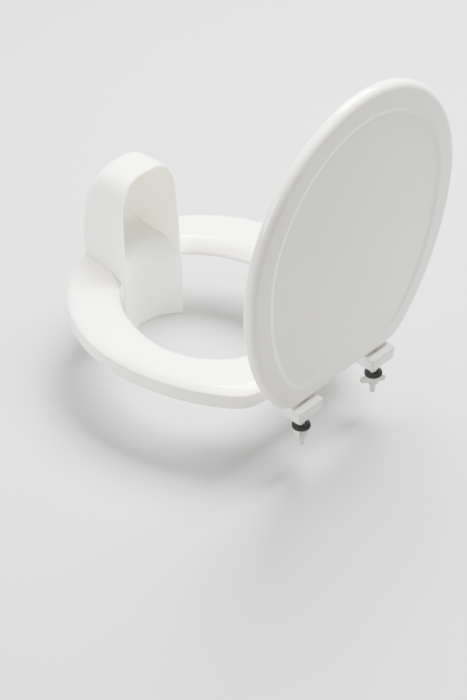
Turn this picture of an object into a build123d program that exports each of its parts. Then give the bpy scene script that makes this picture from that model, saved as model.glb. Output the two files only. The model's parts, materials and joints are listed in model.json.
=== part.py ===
"""Toilet seat with its lid, hinges and a splash guard that sits on the front of the ring.

Millimetres. +Z is up, +X is the seated person's left and -Y is the front of the seat.
The origin lies midway between the two mounting bolts, on the bowl's deck that the hinge posts stand on.
"""
from build123d import *
import math
import os

# Hinge line and mounting
bolt_spacing = 140.0      # 5.5 in, the usual distance between a bowl's two bolt holes
axis_y = -16.5            # hinge line
axis_below_crown = 7.0    # hinge line below the highest part of the ring
open_angle = 93.45        # the lid leans back from closed by this angle
deck_thickness = 20.0     # bowl deck that the bolts clamp

# Clearances
running = 0.05            # radial, hinge pin in a leaf
snug = 0.15               # radial or per side, pieces that only locate each other
gap = 0.5                 # between knuckles on one pin
seat_gap = 0.35           # guard above the ring

# Section of the ring and the lid: shares of the rounded part's width, and of its height
ring_outer_curve = [(0.0, 0.0), (0.17, 0.4), (0.45, 0.8), (0.9, 1.0)]
ring_inner_curve = [(0.0, 0.0), (0.08, 0.28), (0.2, 0.48), (0.46, 0.75), (1.0, 1.0)]
under_chamfer = (1.5, 2.0)  # in from the edge, and up from the underside

# Seat ring
ring_half = 182.0
ring_mid = -224.0         # y of its widest line
ring_front_len = 197.0
ring_rear_len = 240.0
ring_back = -40.0
ring_corner = 12.0
hole_half = 109.5
hole_mid = -205.0
hole_front_len = 152.0
hole_rear_len = 103.0
ring_bottom = 5.0
ring_height = 28.5
ring_edge = 21.5          # height of the upright outer edge, up to the crowned top
ring_crown_run = 18.0     # how far the top rises inwards from the outer edge
ring_dish_run = 54.0      # how far the dished top falls from its crown to the hole
ring_dish = 3.3           # the middle of the ring is this much lower than its crown
hole_edge = 9.0           # height of the upright inner edge

# Lid, sized in its closed position
lid_half = 182.0
lid_mid = -222.0
lid_front_len = 201.0
lid_rear_len = 256.0
lid_back = -12.0
lid_corner = 5.0
lid_gap = 2.5             # between the ring's crown and the closed lid
lid_edge = 15.0
lid_rim_round = 5.0
lid_panel_rise = 3.0
lid_bevel = 27.0

# Hinge hardware
post_width = 44.0
post_front = -12.0
post_back = 16.0
post_below_axis = 9.5     # top of the post below the hinge line
post_corner = 3.0
cap_thickness = 3.5
cap_edge = 1.2            # rounding of the cap's top, and its distance behind the knuckle
knuckle_r = 8.5
knuckle_width = 20.0
leaf_width = 11.5
leaf_plate = 3.0
leaf_reach = 42.0
boss_r = 8.0
pin_r = 3.0
pin_head_r = 4.6
pin_head = 1.6
bolt_r = 4.0
bolt_head_r = 7.5
bolt_head = 4.0
bolt_length = 62.0
bolt_slot = 1.6           # width of the screwdriver slot
bolt_slot_deep = 1.2
recess_r = 9.0            # recess in the post for the bolt's head
recess_room = 1.0         # between the bolt's head and its cap
rubber_washer = 4.0
rubber_washer_r = 12.0
flat_washer = 1.6
flat_washer_r = 11.0
nut_height = 12.0
nut_hub_r = 8.0
wing_span = 34.0
wing_wall = 3.0
nut_turn = 35.0           # where the wings stopped when the nut was done up
screw_r = 2.0
screw_head_r = 3.8
screw_length = 12.0
screw_pitch = 20.0
screw_first = 9.0         # from the leaf's start to its first screw

# Bumpers
bumper_long = 30.0
bumper_wide = 13.0
bumper_stem_r = 2.5
bumper_stem = 6.0
bumper_foot_round = 2.0
bumper_angles = {"front": -50.0, "rear": 35.0}
lid_bumper_gap = 0.2      # between the lid's bumper and the ring when closed
lid_bumper_long = 26.0
lid_bumper_wide = 10.0

# Splash guard
guard_half = 52.0         # at the spring of its arch
guard_draft = 1.5         # the side walls stand this much further out at their foot
guard_rear = -330.0
guard_wall = 3.2
guard_lean = 4.0          # the rear rim leans forward by this much at its top
guard_spring = 105.0      # height where the arch leaves the straight side walls
guard_top = 173.5
arch_power = 2.7          # 2 is an ellipse, more is squarer
guard_inset = 0.6         # front wall inside the ring's outline
front_upright = 60.0      # the front wall is upright up to here, then leans back in a parabola
front_setback = 33.0      # how far it has leant back at the top
floor_wall = 3.0
roll_reach = 12.0         # how far the skirt's head reaches forward under the floor
roll_height = 7.0
skirt_bottom = -87.0
skirt_clear_front = 0.8
skirt_clear_side = 9.3

ring_top = ring_bottom + ring_height
axis_z = ring_top - axis_below_crown
post_height = axis_z - post_below_axis
lid_bottom = ring_top + lid_gap
lid_top = lid_bottom + lid_edge + lid_panel_rise
ring_front = ring_mid - ring_front_len
skirt_half = guard_half + guard_draft
post_x = bolt_spacing / 2


def seat_outline(half, mid, front_len, rear_len, back, corner, inset, z):
    """Two half ellipses that meet at the widest line, cut off straight behind, all moved in by inset."""
    a = half - inset
    front = front_len - inset
    rear = rear_len - inset
    cut = back - inset
    turn = math.degrees(math.asin((cut - mid) / rear))
    x_cut = a * math.cos(math.radians(turn))
    centre = (0, mid)
    edges = [
        EllipticalCenterArc(centre, a, front, start_angle=180, arc_size=180),
        EllipticalCenterArc(centre, a, rear, start_angle=0, arc_size=turn),
        Line((x_cut, cut), (-x_cut, cut)),
        EllipticalCenterArc(centre, a, rear, start_angle=180 - turn, arc_size=turn),
    ]
    face = make_face(edges)
    ends = face.vertices().sort_by(Axis.Y)[-2:]
    face = fillet(ends, corner)
    return Pos(0, 0, z) * face


def egg(half, mid, front_len, rear_len, z):
    """A closed oval of two half ellipses."""
    edges = [
        EllipticalCenterArc((0, mid), half, front_len, start_angle=180, arc_size=180),
        EllipticalCenterArc((0, mid), half, rear_len, start_angle=0, arc_size=180),
    ]
    return Pos(0, 0, z) * make_face(edges)


def ring_section(inset, z):
    return seat_outline(ring_half, ring_mid, ring_front_len, ring_rear_len, ring_back, ring_corner, inset, z)


def hole_section(outset, z):
    return egg(hole_half + outset, hole_mid, hole_front_len + outset, hole_rear_len + outset, z)


def ring_body():
    """The outside of the ring, with no hole: an upright edge and a low crown."""
    rise = ring_height - ring_edge
    shoulder = ring_bottom + ring_edge
    levels = [(under_chamfer[0], ring_bottom), (0.0, ring_bottom + under_chamfer[1])]
    levels += [(across * ring_crown_run, shoulder + up * rise) for across, up in ring_outer_curve]
    return loft([ring_section(inset, z) for inset, z in levels], ruled=True)


def ring_hole():
    """The opening, which widens upwards: the ring's top is dished and its inner edge rolled over."""
    rise = ring_height - hole_edge
    shoulder = ring_bottom + hole_edge
    levels = [(0.0, ring_bottom - 1.0)]
    levels += [(across * ring_dish_run, shoulder + up * rise) for across, up in ring_inner_curve]
    levels.append((ring_dish_run + 1.0, ring_top + 0.1))
    return loft([hole_section(outset, z) for outset, z in levels], ruled=True)


def on_ring(angle):
    """A point on the middle line of the ring; the angle runs from +X, and is negative towards the front."""
    half = (ring_half + hole_half) / 2
    mid = (ring_mid + hole_mid) / 2
    front = (ring_front_len + hole_front_len) / 2
    rear = (ring_back + hole_mid + hole_rear_len) / 2 - mid
    length = rear if angle > 0 else front
    t = math.radians(angle)
    return half * math.cos(t), mid + length * math.sin(t)


def oblong(length, width, z, height):
    return Pos(0, 0, z) * extrude(SlotOverall(length, width), amount=height)


def bumper_place(where, side):
    x, y = on_ring(bumper_angles[where])
    t = math.radians(bumper_angles[where])
    half = (ring_half + hole_half) / 2
    length = (ring_front_len + hole_front_len) / 2
    heading = math.degrees(math.atan2(length * math.cos(t), -half * math.sin(t)))
    return Pos(side * x, y, 0) * Rot(0, 0, heading if side > 0 else 180 - heading)


def stem_hole(where, side, z):
    """Hole that a bumper's stem is pushed into."""
    hole = Pos(0, 0, z + bumper_stem / 2) * Cylinder(bumper_stem_r + snug, bumper_stem + 2 * snug)
    return bumper_place(where, side) * hole


def ring_bumper(where, side):
    pad = oblong(bumper_long, bumper_wide, 0, ring_bottom)
    pad = fillet(pad.edges().group_by(Axis.Z)[0], bumper_foot_round)
    stem = Pos(0, 0, ring_bottom + bumper_stem / 2) * Cylinder(bumper_stem_r, bumper_stem)
    return bumper_place(where, side) * (pad + stem)


def lid_bumper(side):
    foot = ring_top - ring_dish + lid_bumper_gap
    pad = oblong(lid_bumper_long, lid_bumper_wide, foot, lid_bottom - foot)
    stem = Pos(0, 0, lid_bottom + bumper_stem / 2) * Cylinder(bumper_stem_r, bumper_stem)
    return opened(bumper_place("front", side) * (pad + stem))


def opened(shape):
    """Turns a piece of the closed lid about the hinge line into the open position."""
    return Pos(0, axis_y, axis_z) * Rot(-open_angle, 0, 0) * Pos(0, -axis_y, -axis_z) * shape


def x_slab(points, x_from, x_to):
    """A side profile, given as y and z, carried from one x to another."""
    face = make_face(Polyline(*[(x_from, y, z) for y, z in points], close=True))
    return extrude(face, amount=x_to - x_from, dir=(1, 0, 0))


def x_rod(radius, x_from, x_to, y=axis_y, z=axis_z):
    return Pos((x_from + x_to) / 2, y, z) * Rot(0, 90, 0) * Cylinder(radius, abs(x_to - x_from))


def sides(side, low, high):
    """The x range of a piece that lies from low to high outwards from the middle of its post."""
    ends = sorted((side * (post_x + low), side * (post_x + high)))
    return ends[0], ends[1]


ring_leaf_range = (-knuckle_width / 2 - gap - leaf_width, -knuckle_width / 2 - gap)
lid_leaf_range = (knuckle_width / 2 + gap, knuckle_width / 2 + gap + leaf_width)


def leaf_plate_box(side, span, y_from, y_to, z, grow=0.0):
    x_from, x_to = sides(side, *span)
    size = (x_to - x_from + 2 * grow, y_to - y_from + 2 * grow, leaf_plate + grow)
    return Pos((x_from + x_to) / 2, (y_from + y_to) / 2, z) * Box(
        *size, align=(Align.CENTER, Align.CENTER, Align.MIN)
    )


def screw_spots(side, span, y_start):
    x_from, x_to = sides(side, *span)
    return [((x_from + x_to) / 2, y_start - screw_first - i * screw_pitch) for i in range(2)]


def screw(x, y, z, grow=0.0):
    """A countersunk screw pointing up, its head flush with z."""
    sink = screw_head_r - screw_r
    head = Pos(x, y, z + sink / 2) * Cone(screw_head_r + grow, screw_r + grow, sink)
    length = screw_length + grow
    shank = Pos(x, y, z + length / 2) * Cylinder(screw_r + grow, length)
    return head + shank


arm_front = ring_back + 2 * snug
lid_leaf_start = lid_back - 2.0


def ring_leaf(side):
    """Plate let into the underside of the ring, with an arm that rises behind it to the pin."""
    x_from, x_to = sides(side, *ring_leaf_range)
    plate = leaf_plate_box(side, ring_leaf_range, ring_back - leaf_reach, arm_front + 1.0, ring_bottom)
    profile = [
        (arm_front, ring_bottom),
        (axis_y - boss_r, ring_bottom),
        (post_front - 2.0, post_height + 2.0),
        (axis_y, axis_z),
        (axis_y - 0.6 * boss_r, axis_z + 0.75 * boss_r),
        (arm_front, axis_z - 3.0),
    ]
    leaf = plate + x_slab(profile, x_from, x_to) + x_rod(boss_r, x_from, x_to)
    leaf -= x_rod(pin_r + running, x_from - 1, x_to + 1)
    for x, y in screw_spots(side, ring_leaf_range, ring_back):
        leaf -= screw(x, y, ring_bottom, snug)
    return leaf


def lid_leaf_closed(side):
    """Plate let into the underside of the lid, with a lug that hangs from it to the pin."""
    x_from, x_to = sides(side, *lid_leaf_range)
    plate = leaf_plate_box(side, lid_leaf_range, lid_leaf_start - leaf_reach, lid_leaf_start, lid_bottom)
    profile = [
        (axis_y - boss_r, lid_bottom),
        (axis_y - boss_r, axis_z),
        (axis_y + 0.7 * boss_r, axis_z),
        (lid_leaf_start, lid_bottom),
        (lid_leaf_start, lid_bottom + leaf_plate / 2),
        (axis_y - boss_r, lid_bottom + leaf_plate / 2),
    ]
    leaf = plate + x_slab(profile, x_from, x_to) + x_rod(boss_r, x_from, x_to)
    leaf -= x_rod(pin_r + running, x_from - 1, x_to + 1)
    for x, y in screw_spots(side, lid_leaf_range, lid_leaf_start - boss_r):
        leaf -= screw(x, y, lid_bottom, snug)
    return leaf


def seat_ring():
    ring = ring_body() - ring_hole()
    for side in (-1, 1):
        plate_from = ring_back - leaf_reach
        ring -= leaf_plate_box(side, ring_leaf_range, plate_from, ring_back + 5, ring_bottom - snug, snug)
        for x, y in screw_spots(side, ring_leaf_range, ring_back):
            ring -= screw(x, y, ring_bottom, snug)
        for where in bumper_angles:
            ring -= stem_hole(where, side, ring_bottom)
    return ring


def lid_section(inset, z):
    return seat_outline(lid_half, lid_mid, lid_front_len, lid_rear_len, lid_back, lid_corner, inset, z)


def lid():
    """A thick panel with a rounded rim, a low bevel and a flat middle."""
    rim_top = lid_bottom + lid_edge
    levels = [
        (under_chamfer[0], lid_bottom),
        (0.0, lid_bottom + under_chamfer[1]),
        (0.0, rim_top - lid_rim_round),
        (0.3 * lid_rim_round, rim_top - 0.3 * lid_rim_round),
        (lid_rim_round, rim_top),
        (lid_rim_round + lid_bevel, lid_top),
    ]
    panel = loft([lid_section(inset, z) for inset, z in levels], ruled=True)
    for side in (-1, 1):
        plate_from = lid_leaf_start - leaf_reach
        panel -= leaf_plate_box(side, lid_leaf_range, plate_from, lid_leaf_start, lid_bottom - snug, snug)
        for x, y in screw_spots(side, lid_leaf_range, lid_leaf_start - boss_r):
            panel -= screw(x, y, lid_bottom, snug)
        panel -= stem_hole("front", side, lid_bottom)
    return opened(panel)


def hinge_post(side):
    """Block that stands on the bowl, with a knuckle for the pin and a recess for the bolt's head."""
    low, high = sides(side, -post_width / 2, post_width / 2)
    depth = post_back - post_front
    body_top = post_height - cap_thickness
    block = Pos((low + high) / 2, (post_front + post_back) / 2, 0) * Box(
        post_width, depth, body_top, align=(Align.CENTER, Align.CENTER, Align.MIN)
    )
    block = fillet(block.edges().filter_by(Axis.Z), post_corner)
    x_from, x_to = sides(side, -knuckle_width / 2, knuckle_width / 2)
    web = [
        (axis_y - knuckle_r + 1.0, 0),
        (post_front + 1.0, 0),
        (post_front + 1.0, post_height - 0.5),
        (axis_y + knuckle_r - 1.0, axis_z),
        (axis_y - knuckle_r + 0.5, axis_z),
    ]
    post = block + x_slab(web, x_from, x_to) + x_rod(knuckle_r, x_from, x_to)
    post -= x_rod(pin_r, x_from - 1, x_to + 1)
    x = side * post_x
    post -= Pos(x, 0, body_top) * Cylinder(recess_r, 2 * (bolt_head + recess_room))
    post -= Pos(x, 0, body_top / 2) * Cylinder(bolt_r + snug, 2 * body_top)
    return post


def bolt_cap(side):
    """Cover over the bolt's head, with a round spigot that snaps into the recess."""
    low, high = sides(side, -post_width / 2, post_width / 2)
    front = axis_y + knuckle_r + cap_edge
    depth = post_back - front
    body_top = post_height - cap_thickness
    cap = Pos((low + high) / 2, (front + post_back) / 2, body_top) * Box(
        post_width, depth, cap_thickness, align=(Align.CENTER, Align.CENTER, Align.MIN)
    )
    cap = fillet(cap.edges().filter_by(Axis.Z), post_corner)
    cap = fillet(cap.edges().group_by(Axis.Z)[-1], cap_edge)
    spigot = Cylinder(recess_r - snug, 0.8) - Cylinder(recess_r - 1.5, 0.8)
    return cap + Pos(side * post_x, 0, body_top - 0.4) * spigot


def hinge_pin(side):
    """Pin held by the knuckle, with a head at its outer end."""
    reach = knuckle_width / 2 + gap + leaf_width
    x_from, x_to = sides(side, -reach, reach)
    head_from, head_to = sides(side, reach + 0.2, reach + 0.2 + pin_head)
    neck_from, neck_to = sides(side, reach, reach + 0.2)
    shank = x_rod(pin_r, x_from, x_to) + x_rod(pin_r, neck_from, neck_to)
    return shank + x_rod(pin_head_r, head_from, head_to)


def on_bolt(side, shape):
    return Pos(side * post_x, 0, 0) * shape


def mounting_bolt(side):
    seat = post_height - cap_thickness - bolt_head - recess_room
    shank = Pos(0, 0, seat - bolt_length / 2) * Cylinder(bolt_r, bolt_length)
    head = Pos(0, 0, seat + bolt_head / 2) * Cylinder(bolt_head_r, bolt_head)
    slot = Pos(0, 0, seat + bolt_head) * Box(2 * bolt_head_r, bolt_slot, 2 * bolt_slot_deep)
    return on_bolt(side, chamfer((shank + head).edges().group_by(Axis.Z)[0], 0.8) - slot)


def disc(side, outer, z_top, thickness):
    ring = Cylinder(outer, thickness) - Cylinder(bolt_r + snug, thickness)
    return on_bolt(side, Pos(0, 0, z_top - thickness / 2) * ring)


def rubber(side):
    return disc(side, rubber_washer_r, -deck_thickness, rubber_washer)


def flat(side):
    return disc(side, flat_washer_r, -deck_thickness - rubber_washer, flat_washer)


def wing_nut(side):
    top = -deck_thickness - rubber_washer - flat_washer
    hub = Pos(0, 0, top - nut_height / 2) * Cylinder(nut_hub_r, nut_height)
    wing = Pos(0, 0, top - nut_height / 2 - 1.0) * Box(wing_span, wing_wall, nut_height - 2.0)
    wing = fillet(wing.edges().filter_by(Axis.Y), 4.0)
    nut = hub + wing - Pos(0, 0, top - nut_height / 2) * Cylinder(bolt_r + snug, 2 * nut_height)
    return on_bolt(side, Rot(0, 0, side * nut_turn) * nut)


def arch(y, inset):
    """Side walls with a little draft that close over in a superellipse, as a face across the seat."""
    a = guard_half - inset
    foot_a = a + guard_draft
    rise = guard_top - guard_spring - inset
    steps = 12
    curve = []
    for i in range(steps + 1):
        t = math.pi * i / steps
        c = math.cos(t)
        s = math.sin(t)
        x = a * math.copysign(abs(c) ** (2 / arch_power), c)
        curve.append((x, y, guard_spring + rise * abs(s) ** (2 / arch_power)))
    edges = [
        Spline(curve, tangents=[(0, 0, 1), (0, 0, -1)]),
        Line((-a, y, guard_spring), (-foot_a, y, ring_bottom)),
        Line((-foot_a, y, ring_bottom), (foot_a, y, ring_bottom)),
        Line((foot_a, y, ring_bottom), (a, y, guard_spring)),
    ]
    return make_face(edges)


def behind_front(inset):
    """Everything behind the front wall: the ring's outline, upright at first, then leaning back."""
    outline_inset = inset + guard_inset
    upright = extrude(ring_section(outline_inset, 0), amount=front_upright)
    levels = 5
    sections = []
    for i in range(levels):
        share = i / (levels - 1)
        z = front_upright + share * (guard_top - front_upright)
        sections.append(Pos(0, front_setback * share**2, 0) * ring_section(outline_inset, z))
    leaning = loft(sections)
    above = Pos(0, front_setback, 0) * extrude(ring_section(outline_inset, guard_top), amount=guard_wall)
    return upright + leaning + above


def hood(inset, rear_extra):
    """Solid hood: one arch section from the rear rim to the front wall."""
    back_y = guard_rear + rear_extra
    body = extrude(arch(back_y, inset), amount=back_y - ring_front, dir=(0, -1, 0))
    return body & behind_front(inset)


def crescent(inner, outer, z_from, z_to):
    """Strip that follows the front of the ring's hole, between two distances from its edge."""

    def oval(clear):
        side_clear = clear + skirt_clear_side
        front_clear = clear + skirt_clear_front
        return egg(hole_half - side_clear, hole_mid, hole_front_len - front_clear, hole_rear_len, z_from)

    strip = extrude(oval(outer) - oval(inner), amount=z_to - z_from)
    keep = Pos(0, ring_front, z_from) * Box(
        2 * skirt_half, 2 * (hole_mid - ring_front), 4 * (z_to - z_from)
    )
    cut_y = Pos(0, ring_front, z_from) * Box(
        2 * skirt_half + 2, 2 * (guard_rear + 12.0 - ring_front), 4 * (z_to - z_from)
    )
    return strip & keep & cut_y


def splash_guard():
    shell = hood(0, 0) - hood(guard_wall, 4.0)
    lean = [
        (guard_rear, ring_bottom),
        (guard_rear - guard_lean, guard_top + 1.0),
        (guard_rear + 20.0, guard_top + 1.0),
        (guard_rear + 20.0, ring_bottom),
    ]
    shell -= x_slab(lean, -skirt_half - 1, skirt_half + 1)
    ring = ring_body() - ring_hole()
    plan = Pos(0, (guard_rear + ring_front) / 2, ring_top) * Box(
        2 * guard_half, guard_rear - ring_front - 1.5, 80
    )
    raised = Pos(0, 0, seat_gap + floor_wall) * ring
    floor = raised & plan & extrude(ring_section(0.8, 0), amount=100)
    roll_from = ring_bottom + hole_edge + 2.0
    roll_top = roll_from + roll_height
    skirt = crescent(guard_wall, 0.0, skirt_bottom, roll_top)
    roll = crescent(guard_wall, -roll_reach, roll_from, roll_top)
    guard = shell + floor + skirt + roll
    guard -= Pos(0, 0, seat_gap) * ring
    guard -= extrude(ring_section(-5, ring_bottom - 1) - hole_section(0.0, ring_bottom - 1), amount=ring_edge)
    return guard


def group(make):
    return Compound(children=[make(-1), make(1)])


pieces = {
    "seat_ring": seat_ring(),
    "lid": lid(),
    "splash_guard": splash_guard(),
    "mounting_bolts": group(mounting_bolt),
    "rubber_washers": group(rubber),
    "flat_washers": group(flat),
    "wing_nuts": group(wing_nut),
}
for name, side in (("left", 1), ("right", -1)):
    pieces[f"hinge_post_{name}"] = hinge_post(side)
    pieces[f"hinge_pin_{name}"] = hinge_pin(side)
    pieces[f"bolt_cap_{name}"] = bolt_cap(side)
    pieces[f"ring_leaf_{name}"] = ring_leaf(side)
    pieces[f"lid_leaf_{name}"] = opened(lid_leaf_closed(side))
    pieces[f"lid_bumper_{name}"] = lid_bumper(side)
    for where in bumper_angles:
        pieces[f"ring_bumper_{where}_{name}"] = ring_bumper(where, side)

ring_screws = []
lid_screws = []
for side in (-1, 1):
    for x, y in screw_spots(side, ring_leaf_range, ring_back):
        ring_screws.append(screw(x, y, ring_bottom))
    for x, y in screw_spots(side, lid_leaf_range, lid_leaf_start - boss_r):
        lid_screws.append(opened(screw(x, y, lid_bottom)))
pieces["ring_leaf_screws"] = Compound(children=ring_screws)
pieces["lid_leaf_screws"] = Compound(children=lid_screws)

os.makedirs("parts", exist_ok=True)
for name, shape in pieces.items():
    export_step(shape, f"parts/{name}.step")
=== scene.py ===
import json
import math
import bmesh
import bpy
import numpy as np
from mathutils import Matrix, Vector


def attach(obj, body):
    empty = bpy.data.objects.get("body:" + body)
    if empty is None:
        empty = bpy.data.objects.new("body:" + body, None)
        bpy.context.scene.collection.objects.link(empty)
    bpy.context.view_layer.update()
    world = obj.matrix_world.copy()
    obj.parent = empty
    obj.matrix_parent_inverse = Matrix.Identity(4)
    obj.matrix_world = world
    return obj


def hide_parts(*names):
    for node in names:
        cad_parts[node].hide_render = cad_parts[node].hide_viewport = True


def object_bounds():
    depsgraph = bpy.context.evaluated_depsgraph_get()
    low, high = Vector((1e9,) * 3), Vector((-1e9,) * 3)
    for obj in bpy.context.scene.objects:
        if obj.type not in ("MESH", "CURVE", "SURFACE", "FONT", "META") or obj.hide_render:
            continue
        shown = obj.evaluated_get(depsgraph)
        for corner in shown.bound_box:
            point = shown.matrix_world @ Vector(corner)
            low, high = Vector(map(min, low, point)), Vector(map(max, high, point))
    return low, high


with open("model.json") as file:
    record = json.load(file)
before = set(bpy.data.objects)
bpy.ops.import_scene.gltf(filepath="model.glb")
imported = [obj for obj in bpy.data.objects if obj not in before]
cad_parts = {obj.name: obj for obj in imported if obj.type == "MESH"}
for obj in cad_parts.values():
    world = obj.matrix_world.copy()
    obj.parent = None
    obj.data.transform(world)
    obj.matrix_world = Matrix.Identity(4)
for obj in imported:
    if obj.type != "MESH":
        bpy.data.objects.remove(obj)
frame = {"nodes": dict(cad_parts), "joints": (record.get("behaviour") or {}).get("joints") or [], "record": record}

mm = 0.001
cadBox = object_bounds()
joints = {j["name"]: j for j in frame["joints"]}
hinge = np.array(joints["lid_hinge"]["pos_m"]) / mm


# Materials

def linear(hexColour):
    parts = [int(hexColour[i:i + 2], 16) / 255 for i in (1, 3, 5)]
    return [c / 12.92 if c <= 0.04045 else ((c + 0.055) / 1.055) ** 2.4 for c in parts] + [1.0]


def addNode(tree, kind, settings=None, inputs=None, links=None):
    node = tree.nodes.new(kind)
    for key, value in (settings or {}).items():
        setattr(node, key, value)
    for key, value in (inputs or {}).items():
        node.inputs[key].default_value = value
    for key, source in (links or {}).items():
        tree.links.new(source, node.inputs[key])
    return node


# A light material: two close tones mixed by a slow noise, a fine surface ripple, and a soft gloss.
def mouldedFinish(name, spec):
    mat = bpy.data.materials.new(name)
    mat.use_nodes = True
    tree = mat.node_tree
    tree.nodes.clear()
    out = addNode(tree, "ShaderNodeOutputMaterial")
    place = addNode(tree, "ShaderNodeTexCoord").outputs["Object"]
    drift = addNode(tree, "ShaderNodeTexNoise", inputs={"Scale": 1 / (spec["driftMm"] * mm), "Detail": 3.0},
                    links={"Vector": place})
    tone = addNode(tree, "ShaderNodeValToRGB", links={"Fac": drift.outputs["Fac"]})
    tone.color_ramp.elements[0].position = 0.3
    tone.color_ramp.elements[1].position = 0.7
    tone.color_ramp.elements[0].color = linear(spec["shade"])
    tone.color_ramp.elements[1].color = linear(spec["colour"])
    smear = addNode(tree, "ShaderNodeTexNoise", inputs={"Scale": 1 / (spec["smearMm"] * mm), "Detail": 4.0},
                    links={"Vector": place})
    low, high = spec["roughness"]
    gloss = addNode(tree, "ShaderNodeMapRange", inputs={"To Min": low, "To Max": high},
                    links={"Value": smear.outputs["Fac"]})
    ripple = addNode(tree, "ShaderNodeTexNoise", inputs={"Scale": 1 / (spec["rippleMm"] * mm), "Detail": 2.0},
                     links={"Vector": place})
    bump = addNode(tree, "ShaderNodeBump",
                   inputs={"Strength": spec["rippleStrength"], "Distance": spec["rippleDeep"] * mm},
                   links={"Height": ripple.outputs["Fac"]})
    shader = addNode(tree, "ShaderNodeBsdfPrincipled",
                     inputs={"IOR": spec.get("ior", 1.5), "Metallic": spec.get("metallic", 0.0),
                             "Coat Weight": spec.get("coat", 0.0), "Coat Roughness": 0.05,
                             "Subsurface Weight": spec.get("glow", 0.0), "Subsurface Scale": 6 * mm,
                             "Subsurface Radius": (1.0, 0.9, 0.75)},
                     links={"Base Color": tone.outputs["Color"], "Roughness": gloss.outputs["Result"],
                            "Normal": bump.outputs["Normal"]})
    tree.links.new(shader.outputs["BSDF"], out.inputs["Surface"])
    return mat


finishes = {
    # baked enamel on moulded board: a thick glossy skin, slightly warm, with a faint orange peel
    "bakedEnamel": {"colour": "#f4f1e4", "shade": "#f1eee0", "driftMm": 90, "smearMm": 35,
                    "roughness": (0.1, 0.16), "rippleMm": 3.5, "rippleStrength": 0.05, "rippleDeep": 0.05,
                    "coat": 0.4},
    # injection-moulded polypropylene: cooler white, glossy, with slow flow marks from the mould
    "mouldedPolypropylene": {"colour": "#f4f4e9", "shade": "#f1f1e6", "driftMm": 60, "smearMm": 25,
                             "roughness": (0.16, 0.24), "rippleMm": 6.0, "rippleStrength": 0.06,
                             "rippleDeep": 0.06, "ior": 1.49, "glow": 0.6},
    # moulded polypropylene of the hinges, a little duller and warmer
    "mouldedHinge": {"colour": "#eeede6", "shade": "#e6e5dd", "driftMm": 20, "smearMm": 12,
                     "roughness": (0.25, 0.36), "rippleMm": 1.5, "rippleStrength": 0.08,
                     "rippleDeep": 0.03, "ior": 1.49},
    # soft vinyl of the bumpers: matt and slightly translucent looking
    "softVinyl": {"colour": "#e4e3dc", "shade": "#dad9d1", "driftMm": 10, "smearMm": 6,
                  "roughness": (0.5, 0.62), "rippleMm": 0.8, "rippleStrength": 0.15, "rippleDeep": 0.03,
                  "ior": 1.53},
    # black rubber, cut from sheet, chalky
    "cutRubber": {"colour": "#1c1b1a", "shade": "#2a2927", "driftMm": 6, "smearMm": 4,
                  "roughness": (0.6, 0.8), "rippleMm": 0.5, "rippleStrength": 0.3, "rippleDeep": 0.04,
                  "ior": 1.52},
    # zinc plate on pressed steel: pale, with a dull spangle
    "zincPlate": {"colour": "#c3c6c8", "shade": "#aeb2b6", "driftMm": 4, "smearMm": 3,
                  "roughness": (0.28, 0.42), "rippleMm": 0.6, "rippleStrength": 0.1, "rippleDeep": 0.02,
                  "metallic": 1.0},
    # natural nylon: milky, slightly yellow, satin
    "mouldedNylon": {"colour": "#e3e1d4", "shade": "#d9d6c7", "driftMm": 12, "smearMm": 5,
                     "roughness": (0.34, 0.46), "rippleMm": 0.9, "rippleStrength": 0.1,
                     "rippleDeep": 0.02, "ior": 1.53},
}
material = {name: mouldedFinish(name, spec) for name, spec in finishes.items()}
print("materials ready")


# Meshes

# Quads of a grid of points, rows by cols, joined round where asked.
def gridFaces(rows, cols, wrapRows=False, wrapCols=False):
    r = np.arange(rows if wrapRows else rows - 1)
    c = np.arange(cols if wrapCols else cols - 1)
    i, j = np.meshgrid(r, c, indexing="ij")
    i2 = (i + 1) % rows
    j2 = (j + 1) % cols
    return np.stack([i * cols + j, i2 * cols + j, i2 * cols + j2, i * cols + j2], -1).reshape(-1, 4)


# Points in millimetres become a mesh in metres, welded and with its faces turned outwards.
def makeMesh(name, points, faces, weld=0.0, recalculate=True):
    mesh = bpy.data.meshes.new(name)
    mesh.from_pydata((np.asarray(points).reshape(-1, 3) * mm).tolist(), [], np.asarray(faces).tolist())
    bm = bmesh.new()
    bm.from_mesh(mesh)
    if weld:
        bmesh.ops.remove_doubles(bm, verts=bm.verts, dist=weld * mm)
        bmesh.ops.dissolve_degenerate(bm, edges=bm.edges, dist=1e-7)
    if recalculate:
        bmesh.ops.recalc_face_normals(bm, faces=bm.faces)
    bm.to_mesh(mesh)
    bm.free()
    mesh.polygons.foreach_set("use_smooth", np.ones(len(mesh.polygons), bool))
    piece = bpy.data.objects.new(name, mesh)
    bpy.context.scene.collection.objects.link(piece)
    return piece


def finishPiece(piece, finish, body, nodes):
    piece.data.materials.clear()
    piece.data.materials.append(material[finish])
    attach(piece, body)
    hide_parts(*nodes)


# Turns a piece and its modifiers into a plain mesh.
def applyModifiers(piece):
    graph = bpy.context.evaluated_depsgraph_get()
    mesh = bpy.data.meshes.new_from_object(piece.evaluated_get(graph))
    piece.modifiers.clear()
    piece.data = mesh


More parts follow.
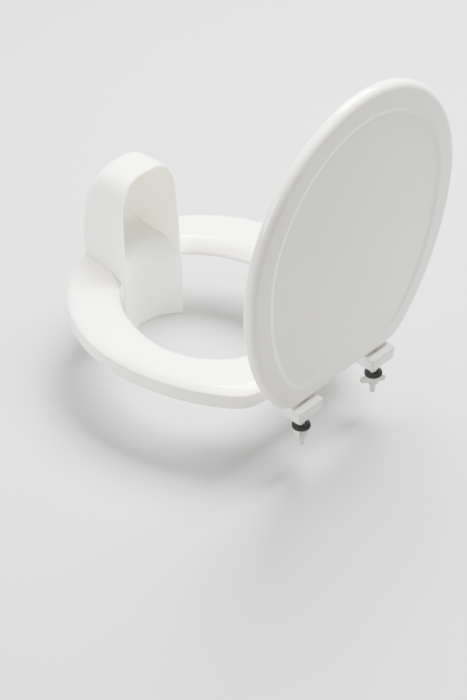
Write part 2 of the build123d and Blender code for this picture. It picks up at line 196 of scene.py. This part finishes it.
# Cuts a box out of a piece on both sides, as room for a hinge leaf that lies flush in it.
def letIn(piece, low, high, turn=None):
    spots = [(x, y, z) for x in (low[0], high[0]) for y in (low[1], high[1]) for z in (low[2], high[2])]
    faces = [(0, 1, 3, 2), (4, 6, 7, 5), (0, 4, 5, 1), (2, 3, 7, 6), (0, 2, 6, 4), (1, 5, 7, 3)]
    for side in (1, -1):
        points = np.array(spots) * (side, 1, 1)
        cutter = makeMesh("cutter", turn(points) if turn else points, faces)
        cut = piece.modifiers.new("letIn", "BOOLEAN")
        cut.operation = "DIFFERENCE"
        cut.solver = "EXACT"
        cut.object = cutter
        applyModifiers(piece)
        bpy.data.objects.remove(cutter)
    piece.data.polygons.foreach_set("use_smooth", np.ones(len(piece.data.polygons), bool))
    piece.data.set_sharp_from_angle(angle=math.radians(50))


# A polyline walked in even steps, then softened by a short bell curve so that its corners are round.
def evenPath(points, spacing, closed, soften):
    pts = np.asarray(points, float)
    if closed:
        pts = np.vstack([pts, pts[:1]])
    along = np.concatenate([[0], np.cumsum(np.linalg.norm(np.diff(pts, axis=0), axis=1))])
    count = int(along[-1] / spacing)
    walk = np.linspace(0, along[-1], count, endpoint=not closed)
    path = np.stack([np.interp(walk, along, pts[:, k]) for k in range(pts.shape[1])], -1)
    reach = int(3 * soften / spacing)
    if reach < 1:
        return path
    bell = np.exp(-0.5 * (np.arange(-reach, reach + 1) * spacing / soften) ** 2)
    bell /= bell.sum()
    if closed:
        padded = np.vstack([path[-reach:], path, path[:reach]])
    else:
        before = 2 * path[0] - path[reach:0:-1]
        after = 2 * path[-1] - path[-2:-reach - 2:-1]
        padded = np.vstack([before, path, after])
    return np.stack([np.convolve(padded[:, k], bell, "valid") for k in range(path.shape[1])], -1)


# Seat ring and lid outlines

ringShape = {"half": 181.98, "mid": -224.0, "front": 196.98, "rear": 240.0, "back": -40.0,
             "power": 1.97, "corner": 26}
holeShape = {"half": 109.5, "mid": -205.0, "front": 152.0, "rear": 103.0, "back": None, "power": 2.03}
lidShape = {"half": 181.98, "mid": -222.0, "front": 201.0, "rear": 256.0, "back": -12.0,
            "power": 1.98, "corner": 46}


# Distance from the middle of the widest line to the outline, along each direction: a superellipse whose
# length differs in front and behind, softly cut off by a straight back edge.
def outlineRadius(turn, shape):
    c = np.cos(turn)
    s = np.sin(turn)
    length = np.where(s > 0, shape["rear"], shape["front"])
    n = shape["power"]
    r = (np.abs(c / shape["half"]) ** n + np.abs(s / length) ** n) ** (-1 / n)
    if shape["back"] is None:
        return r
    reach = shape["back"] - shape["mid"]
    straight = reach / np.maximum(s, 1e-3)
    p = shape["corner"]
    return (r ** -p + straight ** -p) ** (-1 / p)


def outlinePoints(turn, shape, inset=0.0):
    r = outlineRadius(turn, shape) - inset
    return np.stack([r * np.cos(turn), shape["mid"] + r * np.sin(turn)], -1)


ringSection = {"bottom": 5.0, "width": 70.0, "crown": 34.6, "slope": 0.13,
               "edgeDrop": 8.1, "outerRun": 18.0, "outerPower": 2.4,
               "holeDrop": 12.5, "innerRun": 26.0, "innerPower": 2.8,
               "edgeRise": 2.0, "edgeIn": 1.5, "holeIn": 3.0, "holeRise": 4.0,
               "leafLow": (47.85, -82.15, 4.0), "leafHigh": (59.65, -34.0, 8.15)}


# Height of the ring's top at d of its 70 mm width: a straight fall towards the hole, less a power curve
# that takes it down to the outer edge and another that rolls it over the inner edge.
def crownHeight(d):
    q = ringSection
    fromOuter = np.clip(1 - d / q["outerRun"], 0, 1)
    fromInner = np.clip(1 - (q["width"] - d) / q["innerRun"], 0, 1)
    outer = q["edgeDrop"] * fromOuter ** q["outerPower"]
    inner = q["holeDrop"] * fromInner ** q["innerPower"]
    return q["crown"] - q["slope"] * d - outer - inner


# Height of the ring's top above any point, by how far along the way from the outer edge to the hole it
# is.
def ringTopAt(x, y):
    turn = np.arctan2(y - ringShape["mid"], x)
    r = np.hypot(x, y - ringShape["mid"])
    outer = outlineRadius(turn, ringShape)
    holeTurn = np.arctan2(y - holeShape["mid"], x)
    toHole = np.hypot(x, y - holeShape["mid"]) - outlineRadius(holeTurn, holeShape)
    share = (outer - r) / np.maximum(outer - r + toHole, 1e-6)
    return crownHeight(ringSection["width"] * np.clip(share, 0, 1))


# The section is carried round the seat on lines from the outer outline to the hole's outline.
def makeSeatRing():
    q = ringSection
    across = np.linspace(0, q["width"], 90)
    top = np.stack([across, crownHeight(across)], -1)
    under = np.array([(q["width"] - 0.2, q["bottom"] + q["holeRise"]),
                      (q["width"] - q["holeIn"], q["bottom"]),
                      (q["edgeIn"], q["bottom"]), (0.0, q["bottom"] + q["edgeRise"])])
    section = evenPath(np.vstack([top, under]), 0.6, True, 0.8)
    turn = np.linspace(0, 2 * np.pi, 480, endpoint=False)
    outer = outlinePoints(turn, ringShape)
    hole = outlinePoints(turn, holeShape)
    share = (section[:, 0] / q["width"])[None, :, None]
    plan = outer[:, None, :] * (1 - share) + hole[:, None, :] * share
    height = np.broadcast_to(section[None, :, 1:], plan.shape[:2] + (1,))
    points = np.concatenate([plan, height], -1)
    ring = makeMesh("seatRing", points, gridFaces(480, len(section), True, True))
    letIn(ring, q["leafLow"], q["leafHigh"])
    finishPiece(ring, "bakedEnamel", "ring", ["seat_ring"])


lidSection = {"bottom": 36.0, "sideTop": 43.0, "rim": 51.0, "shoulder": 9.0, "band": 31.0, "step": 5.0,
              "drop": 1.6, "flatFrom": 60.0, "openDeg": 93.45,
              "leafLow": (80.35, -56.15, 35.0), "leafHigh": (92.15, -13.85, 39.15)}


# Turns points of the closed lid about the hinge line into the open position.
def opened(points):
    t = math.radians(-lidSection["openDeg"])
    rel = points - hinge
    y = rel[..., 1] * math.cos(t) - rel[..., 2] * math.sin(t)
    z = rel[..., 1] * math.sin(t) + rel[..., 2] * math.cos(t)
    return np.stack([rel[..., 0], y, z], -1) + hinge


# Rings of points move in from the rim by the section's inset; past the panel's edge they close on a pole.
def makeLid():
    q = lidSection
    bend = np.linspace(0, np.pi / 2, 12)
    rise = q["rim"] - q["sideTop"]
    shoulder = np.stack([q["shoulder"] * (1 - np.cos(bend)), q["sideTop"] + rise * np.sin(bend)], -1)
    panel = q["band"] + q["step"]
    under = [(q["flatFrom"], q["bottom"]), (2.0, q["bottom"]), (0.0, q["bottom"] + 2.0)]
    top = [(q["band"] - 4, q["rim"] + 0.5), (q["band"], q["rim"] + 0.4),
           (panel, q["rim"] + 0.4 - q["drop"]), (q["flatFrom"], q["rim"] + 0.5 - q["drop"])]
    section = np.vstack([under, shoulder, top])
    path = evenPath(section, 0.9, False, 1.3)
    turn = np.linspace(0, 2 * np.pi, 420, endpoint=False)
    r = outlineRadius(turn, lidShape)[:, None] - path[None, :, 0]
    height = np.broadcast_to(path[None, :, 1], r.shape)
    close = np.linspace(0.999, 0.0, 22)[None, :]
    rUnder = (r[:, :1] * close)[:, ::-1]
    rTop = r[:, -1:] * close
    crown = q["rim"] + 0.5 - q["drop"] + 1.6 * (1 - close ** 2)
    r = np.concatenate([rUnder, r, rTop], 1)
    flat = np.full_like(rUnder, q["bottom"])
    height = np.concatenate([flat, height, np.broadcast_to(crown, rTop.shape)], 1)
    x = r * np.cos(turn)[:, None]
    y = lidShape["mid"] + r * np.sin(turn)[:, None]
    points = opened(np.stack([x, y, height], -1))
    lid = makeMesh("lidPanel", points, gridFaces(420, r.shape[1], True, False), weld=0.02)
    letIn(lid, q["leafLow"], q["leafHigh"], opened)
    finishPiece(lid, "bakedEnamel", "lid", ["lid"])


makeSeatRing()
makeLid()
print("ring and lid made")


# Splash guard

guard = {"half": 52.0, "draft": 1.5, "rear": -330.0, "lean": 4.0, "wall": 3.2, "spring": 105.0, "top": 173.5,
         "power": 2.7, "edgeR": 8.0, "crownR": 10.0, "frontInset": 0.2, "upright": 60.0, "setback": 33.0,
         "draftFrom": 7.0, "leanFrom": 34.0, "leanRun": 141.0,
         "cheekFront": -337.0, "cheekLow": 10.0, "cheekRise": 6.0,  # foot of the side wall inside the hole
         "floorFront": 50.0, "floorWall": 2.4, "floorShort": 2.6, "floorHollow": 2.6,
         "gap": 0.35, "skirtHalf": 97.0, "skirtLen": 148.0,
         # the floor's path over the ring's inner edge: forward of the skirt, and height
         "roll": [(58.0, 38.2), (38.0, 36.6), (25.0, 35.4), (17.0, 33.0), (10.0, 28.6), (5.0, 22.5),
                  (1.6, 15.0), (0.0, 6.0), (0.0, -30.0), (0.0, -87.0)]}


# Plan line of the guard's front wall: just inside the ring's outline, and above the upright part set back
# by a parabola of the height.
def frontLine(x, z):
    q = ringShape
    line = q["mid"] - q["front"] * (1 - np.abs(x / q["half"]) ** q["power"]) ** (1 / q["power"])
    up = np.clip((z - guard["upright"]) / (guard["top"] - guard["upright"]), 0, 1)
    return line + guard["frontInset"] + guard["setback"] * up ** 2


# Plan line of the skirt's bowl side: the front of an ellipse that follows the hole.
def skirtLine(x):
    return holeShape["mid"] - guard["skirtLen"] * np.sqrt(1 - (x / guard["skirtHalf"]) ** 2)


# Point of the hood's section: t runs from 0 at the foot of the side wall, past 1 where the arch starts,
# to 2 at the crown. The arch is a superellipse and the side wall has a little draft.
def hoodPoint(t, y):
    g = guard
    foot = ringTopAt(np.full_like(y, g["half"] + g["draft"]), y) + g["gap"]
    back = (g["rear"] - y) / (g["rear"] - g["cheekFront"])
    foot = np.where(y > g["cheekFront"], g["cheekLow"] + g["cheekRise"] * back, foot)
    angle = np.clip(t - 1, 0, 1) * np.pi / 2
    archX = g["half"] * np.cos(angle) ** (2 / g["power"])
    archZ = g["spring"] + (g["top"] - g["spring"]) * np.sin(angle) ** (2 / g["power"])
    wallZ = foot + (g["spring"] - foot) * np.clip(t, 0, 1)
    wallX = g["half"] + g["draft"] * (g["spring"] - wallZ) / (g["spring"] - g["draftFrom"])
    return np.where(t > 1, archX, wallX), np.where(t > 1, archZ, wallZ)


# Half of the hood is a sheet from the rear rim forward, round the front corner and across to the middle;
# the other half is its mirror image.
def makeHood():
    g = guard
    t = np.concatenate([np.linspace(0, 1, 40), 1 + np.linspace(0, 1, 49)[1:] ** 0.9])[:, None]
    steps = 44
    v = np.linspace(0, 1, steps)[None, :]
    edgeR = g["edgeR"] + (g["crownR"] - g["edgeR"]) * np.clip(t - 1, 0, 1) ** 2
    y = np.broadcast_to(g["rear"] + v * 0, (len(t), steps)).copy()
    t2 = np.broadcast_to(t, y.shape)
    for _ in range(5):
        x, z = hoodPoint(t2, y)
        frontY = frontLine(x, z) + edgeR
        rearY = g["rear"] - g["lean"] * np.clip((z - g["leanFrom"]) / g["leanRun"], 0, 1)
        y = rearY + (frontY - rearY) * v
    x, z = hoodPoint(t2, y)
    hoodPart = np.stack([x, y, z], -1)
    edgeX, edgeZ = x[:, -1:], z[:, -1:]
    slopeX = np.gradient(edgeX[:, 0])
    slopeZ = np.gradient(edgeZ[:, 0])
    size = np.hypot(slopeX, slopeZ) + 1e-9
    inX = (-slopeZ / size)[:, None]
    inZ = (slopeX / size)[:, None]
    inX[-1] = 0.0
    inZ[-1] = -1.0
    bend = np.linspace(0, np.pi / 2, 9)[None, 1:]
    bx = edgeX + inX * edgeR * (1 - np.cos(bend))
    bz = edgeZ + inZ * edgeR * (1 - np.cos(bend))
    footRise = bz[:1] - edgeZ[:1]
    bz = bz - footRise * np.clip(1 - t, 0, 1) ** 4
    by = frontLine(bx, bz) + edgeR * (1 - np.sin(bend))
    bendPart = np.stack([bx, by, bz], -1)
    share = np.linspace(0, 1, 26)[None, 1:]
    fx = bx[:, -1:] * (1 - share)
    middleZ = np.linspace(bz[0, -1], bz[-1, -1], len(t))[:, None]  # even steps up the middle, so no slivers
    fz = bz[:, -1:] * (1 - share) + middleZ * share
    frontPart = np.stack([fx, frontLine(fx, fz), fz], -1)
    half = np.concatenate([hoodPart, bendPart, frontPart], 1)
    rows, cols = half.shape[:2]
    mirrored = half * np.array([-1.0, 1.0, 1.0])
    faces = gridFaces(rows, cols)
    points = np.concatenate([half.reshape(-1, 3), mirrored.reshape(-1, 3)])
    allFaces = np.concatenate([faces, faces[:, ::-1] + rows * cols])
    return makeMesh("guardHood", points, allFaces, weld=0.05)


# A sheet across the guard: down a hollow ramp from the front wall, over the ring's inner edge, and down
# the skirt.
def makeFloorAndSkirt():
    g = guard
    roll = np.array(g["roll"])
    path = evenPath(roll, 1.5, False, 2.6)
    path[-1] = roll[-1]
    ramp = np.linspace(1, 0, 20, endpoint=False)
    across = np.linspace(-1, 1, 61)[:, None]
    f = np.broadcast_to(np.concatenate([ramp, path[:, 0]])[None, :], (61, len(ramp) + len(path))).copy()
    rampZ = path[0, 1] + (g["floorFront"] - path[0, 1]) * ramp ** g["floorHollow"]
    z = np.concatenate([rampZ, path[:, 1]])[None, :]
    wide = g["half"] + g["draft"] * (g["spring"] - z) / (g["spring"] - g["draftFrom"])
    x = across * np.minimum(wide - 1.2 * np.clip((z - 14.0) / 10.0, 0, 1), g["half"] + g["draft"])
    xRamp = x[:, :len(ramp)]
    frontReach = skirtLine(xRamp) - frontLine(xRamp, g["floorFront"]) - g["floorShort"]
    f[:, :len(ramp)] = path[0, 0] + (frontReach - path[0, 0]) * ramp[None, :]
    points = np.stack([x, skirtLine(x) - f, np.broadcast_to(z, x.shape)], -1)
    return makeMesh("guardFloor", points, gridFaces(61, f.shape[1]), recalculate=False)


def makeSplashGuard():
    hood = makeHood()
    floor = makeFloorAndSkirt()
    for piece, wall in ((hood, guard["wall"]), (floor, guard["floorWall"])):
        thick = piece.modifiers.new("wall", "SOLIDIFY")
        thick.thickness = wall * mm
        thick.offset = -1.0
        thick.use_quality_normals = True
        edge = piece.modifiers.new("edge", "BEVEL")
        edge.width = 0.9 * mm
        edge.segments = 2
        edge.limit_method = "ANGLE"
        edge.angle_limit = math.radians(50)
        applyModifiers(piece)
    join = hood.modifiers.new("join", "BOOLEAN")
    join.operation = "UNION"
    join.solver = "EXACT"
    join.object = floor
    applyModifiers(hood)
    bpy.data.objects.remove(floor)
    hood.name = "splashGuard"
    hood.data.name = "splashGuard"
    hood.data.polygons.foreach_set("use_smooth", np.ones(len(hood.data.polygons), bool))
    hood.data.set_sharp_from_angle(angle=math.radians(38))
    finishPiece(hood, "mouldedPolypropylene", "guard", ["splash_guard"])


makeSplashGuard()
print("guard made")


# Hardware: the CAD pieces with their edges broken and a finish each

def bevelledCopy(node, finish, body):
    source = frame["nodes"][node]
    mesh = source.data.copy()
    bm = bmesh.new()
    bm.from_mesh(mesh)
    bmesh.ops.remove_doubles(bm, verts=bm.verts, dist=1e-6)
    bmesh.ops.dissolve_limit(bm, angle_limit=math.radians(1.5), verts=bm.verts, edges=bm.edges)
    bm.to_mesh(mesh)
    bm.free()
    mesh.materials.clear()
    parts = [w[:1].upper() + w[1:] for w in node.split("_")]
    piece = bpy.data.objects.new(parts[0].lower() + "".join(parts[1:]), mesh)
    bpy.context.scene.collection.objects.link(piece)
    edge = piece.modifiers.new("edge", "BEVEL")
    edge.width = 0.5 * mm
    edge.segments = 2
    edge.limit_method = "ANGLE"
    edge.angle_limit = math.radians(40)
    applyModifiers(piece)
    piece.data.polygons.foreach_set("use_smooth", np.ones(len(piece.data.polygons), bool))
    piece.data.set_sharp_from_angle(angle=math.radians(35))
    finishPiece(piece, finish, body, [node])


slotFinish = {"hinge_plastic": "mouldedHinge", "bumper_plastic": "softVinyl", "washer_rubber": "cutRubber",
              "plated_steel": "zincPlate", "nylon": "mouldedNylon"}
bodyOf = {node: body for body, nodes in frame["record"]["behaviour"]["bodies"].items() for node in nodes}
for entry in frame["record"]["subparts"]:
    node = entry["node"]
    if entry["material_slot"] in slotFinish:
        bevelledCopy(node, slotFinish[entry["material_slot"]], bodyOf[node])
print("hardware made")


# Floor, light and camera

studio = {"floorSize": 16.0, "floor": "#a3a3a5", "floorLight": "#a7a7a8",
          "sky": "#f4f6fa", "skyBack": 0.02, "skyFront": 1.8,
          "lights": [("softTop", (-1.0, -0.35, 2.05), (0.0, -0.25, 0.1), (1.5, 1.3), 400.0),
                     ("softFront", (0.5, -2.0, 1.7), (0.0, -0.25, 0.1), (1.5, 1.2), 45.0),
                     ("overhead", (0.3, 0.1, 2.3), (0.0, -0.25, 0.1), (0.9, 0.7), 30.0),
                     ("sideBank", (2.3, -0.9, 1.1), (0.0, -0.2, 0.1), (1.0, 1.0), 45.0)]}
floorZ = cadBox[0][2]


def makeFloor():
    size = studio["floorSize"] / 2
    mesh = bpy.data.meshes.new("studioFloor")
    corners = [(-size, -size, floorZ), (size, -size, floorZ), (size, size, floorZ), (-size, size, floorZ)]
    mesh.from_pydata(corners, [], [(0, 1, 2, 3)])
    floor = bpy.data.objects.new("studioFloor", mesh)
    bpy.context.scene.collection.objects.link(floor)
    mat = bpy.data.materials.new("paperSweep")
    mat.use_nodes = True
    tree = mat.node_tree
    shader = tree.nodes["Principled BSDF"]
    grain = addNode(tree, "ShaderNodeTexNoise", inputs={"Scale": 3.0, "Detail": 2.0})
    tone = addNode(tree, "ShaderNodeValToRGB", links={"Fac": grain.outputs["Fac"]})
    tone.color_ramp.elements[0].color = linear(studio["floor"])
    tone.color_ramp.elements[1].color = linear(studio["floorLight"])
    tree.links.new(tone.outputs["Color"], shader.inputs["Base Color"])
    shader.inputs["Roughness"].default_value = 0.9
    mesh.materials.append(mat)


def areaLight(name, place, aim, size, power):
    data = bpy.data.lights.new(name, "AREA")
    data.shape = "RECTANGLE"
    data.size, data.size_y = size
    data.energy = power
    light = bpy.data.objects.new(name, data)
    light.location = place
    light.rotation_euler = (Vector(aim) - Vector(place)).to_track_quat("-Z", "Y").to_euler()
    bpy.context.scene.collection.objects.link(light)


def makeCamera():
    spec = {"place": (1.28375, 1.03445, 1.36527), "back": (0.56794, 0.53789, 0.62300), "rollDeg": -0.37,
            "lens": 87.43}
    back = Vector(spec["back"]).normalized()
    right = Vector((0, 0, 1)).cross(back).normalized()
    up = back.cross(right)
    c = math.cos(math.radians(spec["rollDeg"]))
    s = math.sin(math.radians(spec["rollDeg"]))
    tiltedRight = right * c + up * s
    tiltedUp = up * c - right * s
    data = bpy.data.cameras.new("camera")
    data.sensor_width = 36.0
    data.lens = spec["lens"]
    data.clip_end = 60.0
    camera = bpy.data.objects.new("camera", data)
    turn = Matrix((tiltedRight, tiltedUp, back)).transposed()
    camera.matrix_world = Matrix.Translation(spec["place"]) @ turn.to_4x4()
    bpy.context.scene.collection.objects.link(camera)
    bpy.context.scene.camera = camera


# A sky that is bright over the front of the seat and dim behind it, by the direction's y.
def makeWorld():
    world = bpy.data.worlds.new("studio")
    bpy.context.scene.world = world
    world.use_nodes = True
    tree = world.node_tree
    place = addNode(tree, "ShaderNodeTexCoord").outputs["Generated"]
    split = addNode(tree, "ShaderNodeSeparateXYZ", links={"Vector": place})
    fade = addNode(tree, "ShaderNodeMapRange", {"interpolation_type": "SMOOTHSTEP"},
                   {"From Min": 0.25, "From Max": -0.7,
                    "To Min": studio["skyBack"], "To Max": studio["skyFront"]},
                   {"Value": split.outputs["Y"]})
    sky = tree.nodes["Background"]
    sky.inputs["Color"].default_value = linear(studio["sky"])
    tree.links.new(fade.outputs["Result"], sky.inputs["Strength"])


makeFloor()
makeWorld()
for spec in studio["lights"]:
    areaLight(*spec)
makeCamera()
print("studio ready")
